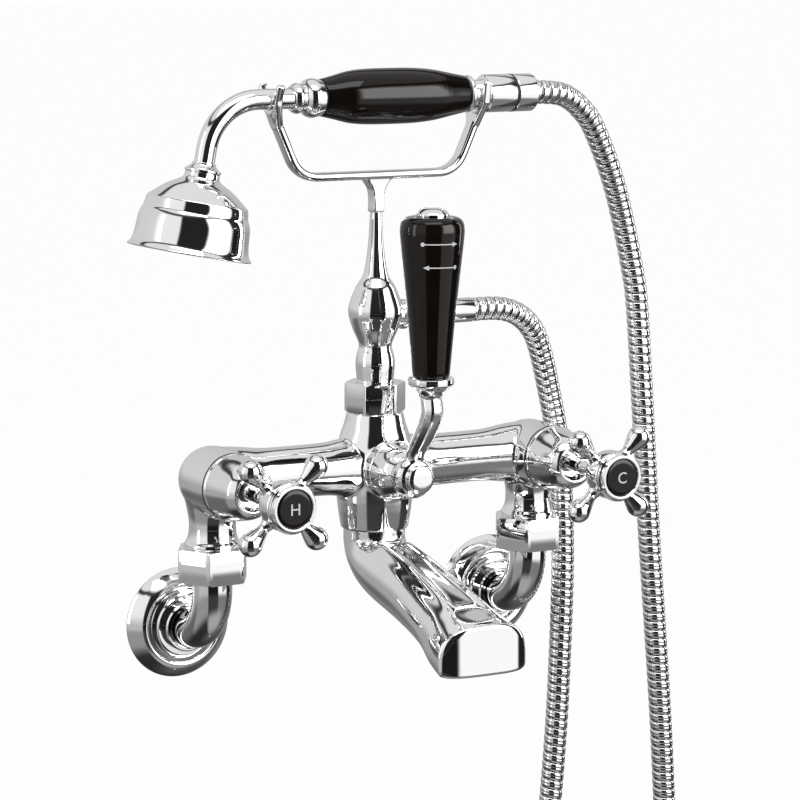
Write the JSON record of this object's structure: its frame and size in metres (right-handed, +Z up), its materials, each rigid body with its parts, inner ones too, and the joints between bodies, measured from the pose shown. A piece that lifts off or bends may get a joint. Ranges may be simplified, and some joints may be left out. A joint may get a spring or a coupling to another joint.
{
  "type": "bath shower mixer",
  "caption": "Wall mounted bath shower mixer with crosshead valves, a cast spout, a lever diverter, and a riser cradle holding a bell handset on a ribbed hose",
  "frame": {"origin": "on the wall plane, midway between the two wall inlets, at the height of their axes", "axes": "+X right as the user faces the wall, +Y into the wall, +Z up"},
  "size_m": [0.3339, 0.1646, 0.6329],
  "materials": {
    "chrome": "polished chrome plate",
    "hose_chrome": "polished spiral wound metal hose",
    "dark_gloss": "glossy near black glaze",
    "brass": "turned brass",
    "ceramic": "ground ceramic",
    "rubber": "plain rubber"
  },
  "bodies": {
    "mixer": {"mixer_body": "chrome", "spout": "chrome", "hot_wall_elbow": "chrome", "cold_wall_elbow": "chrome", "hot_wall_flange": "chrome", "cold_wall_flange": "chrome", "hot_union_nut": "chrome", "cold_union_nut": "chrome", "hot_union_washer": "rubber", "cold_union_washer": "rubber", "hot_bonnet": "chrome", "cold_bonnet": "chrome", "hot_fixed_disc": "ceramic", "cold_fixed_disc": "ceramic", "diverter_bonnet": "chrome", "riser_nut": "chrome", "riser_washer": "rubber", "riser": "chrome", "hose_collar": "chrome", "hose_sleeve": "chrome", "cradle": "chrome", "hose": "hose_chrome"},
    "hot_handle": {"hot_spindle": "brass", "hot_moving_disc": "ceramic", "hot_crosshead": "chrome", "hot_bezel": "chrome", "hot_index": "dark_gloss"},
    "cold_handle": {"cold_spindle": "brass", "cold_moving_disc": "ceramic", "cold_crosshead": "chrome", "cold_bezel": "chrome", "cold_index": "dark_gloss"},
    "diverter": {"diverter_spindle": "brass", "diverter_lever": "chrome", "diverter_cap": "chrome", "lever_collar": "chrome", "lever_rod": "brass", "lever_grip": "dark_gloss", "lever_button": "chrome"},
    "handset": {"neck_pipe": "chrome", "front_ferrule": "chrome", "handset_grip": "dark_gloss", "rear_ferrule": "chrome", "tail_fitting": "chrome", "hose_nut": "chrome", "rose_collar": "chrome", "rose_bell": "chrome", "rose_plate": "chrome"}
  },
  "joints": [
    {"name": "hot_handle_turn", "type": "hinge", "parent": "mixer", "child": "hot_handle", "pos_m": [-0.09, -0.117, 0.079], "axis": [0, -1, 0], "range_deg": [0, 90]},
    {"name": "cold_handle_turn", "type": "hinge", "parent": "mixer", "child": "cold_handle", "pos_m": [0.09, -0.117, 0.079], "axis": [0, -1, 0], "range_deg": [0, 90]},
    {"name": "diverter_swing", "type": "hinge", "parent": "mixer", "child": "diverter", "pos_m": [0, -0.08, 0.079], "axis": [0, 1, 0], "range_deg": [-45, 45]},
    {"name": "handset_lift", "type": "slide", "parent": "mixer", "child": "handset", "axis": [0, 0, 1], "range_m": [0, 0.06], "deforming": ["hose"]}
  ]
}
